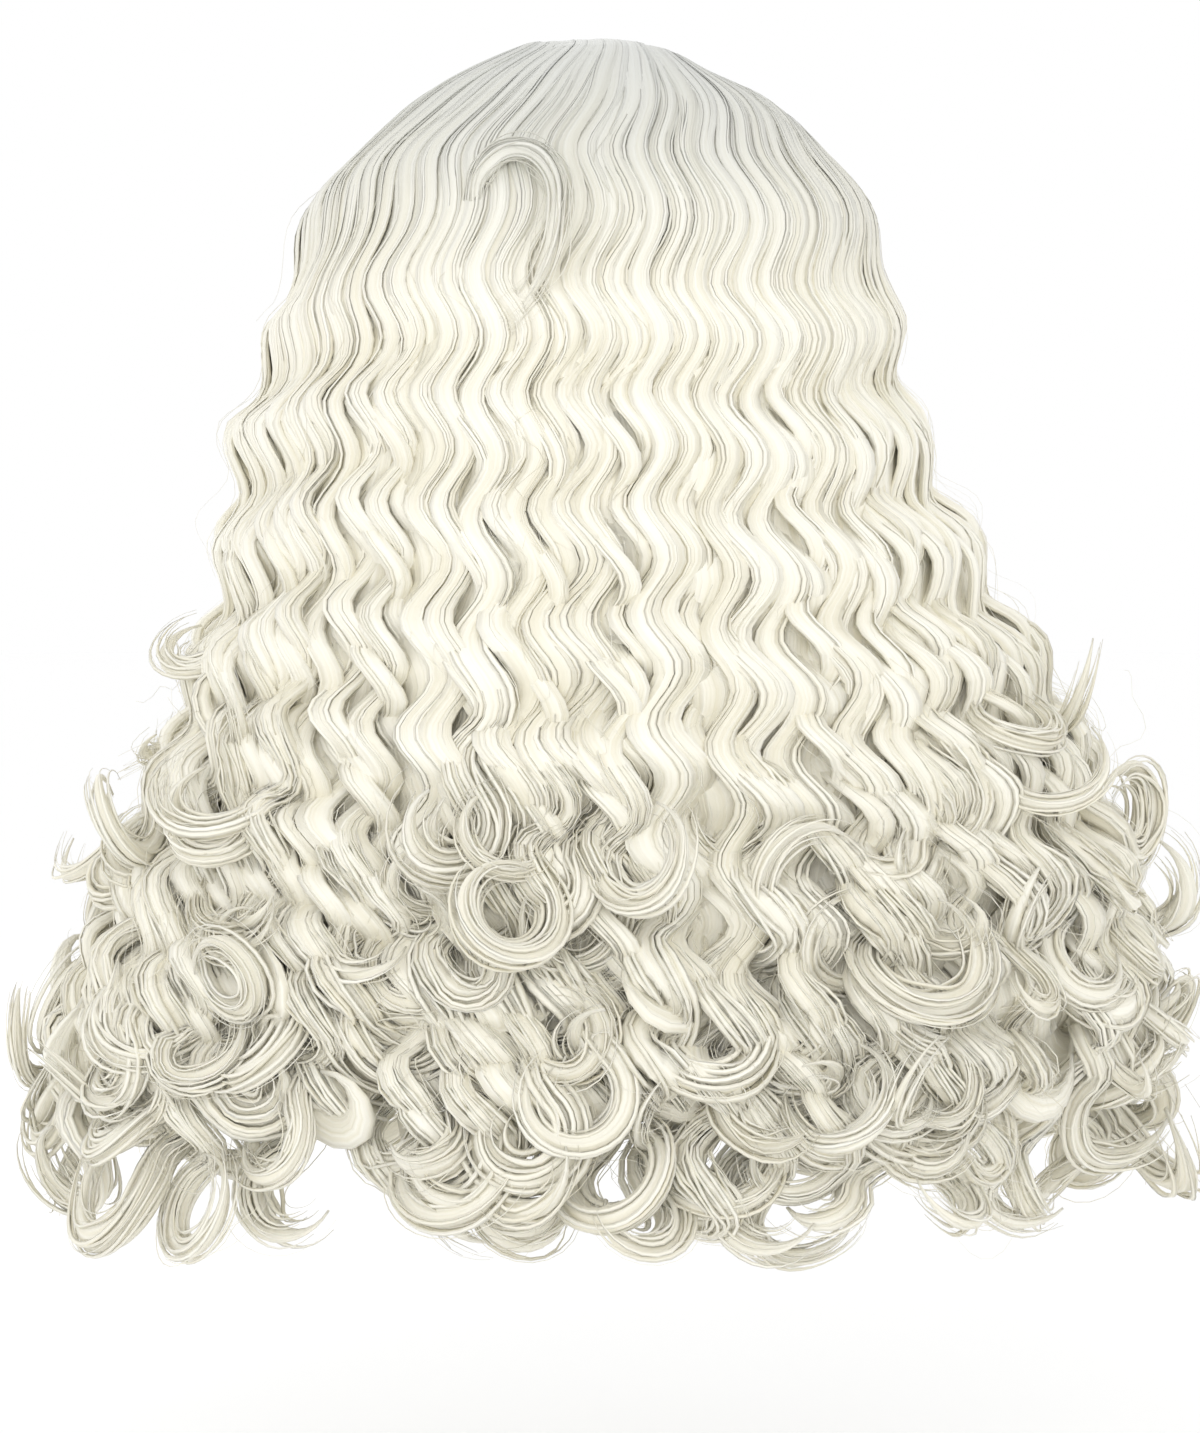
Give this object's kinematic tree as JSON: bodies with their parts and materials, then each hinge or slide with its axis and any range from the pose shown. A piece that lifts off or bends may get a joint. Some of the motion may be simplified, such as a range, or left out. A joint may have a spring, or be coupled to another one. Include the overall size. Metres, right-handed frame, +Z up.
{
  "type": "curly wig",
  "caption": "Long, full wig of pale wavy hair that falls from a centre parting on a thin cap and ends in ring curls.",
  "frame": {"origin": "the point inside the top of the cap that rests on the crown of the head", "axes": "+Z up, the face opening towards -Y, the wearer's left towards +X"},
  "size_m": [0.4734, 0.297, 0.4876],
  "materials": {
    "hair": "soft sheen of combed synthetic fibre",
    "cap_net": "matt stretch net"
  },
  "bodies": {
    "root": {"cap_left_front": "cap_net", "cap_right_front": "cap_net", "cap_left_back": "cap_net", "cap_right_back": "cap_net", "back_hair": "hair", "left_side_hair": "hair", "right_side_hair": "hair", "left_front_hair": "hair", "right_front_hair": "hair"}
  },
  "joints": []
}
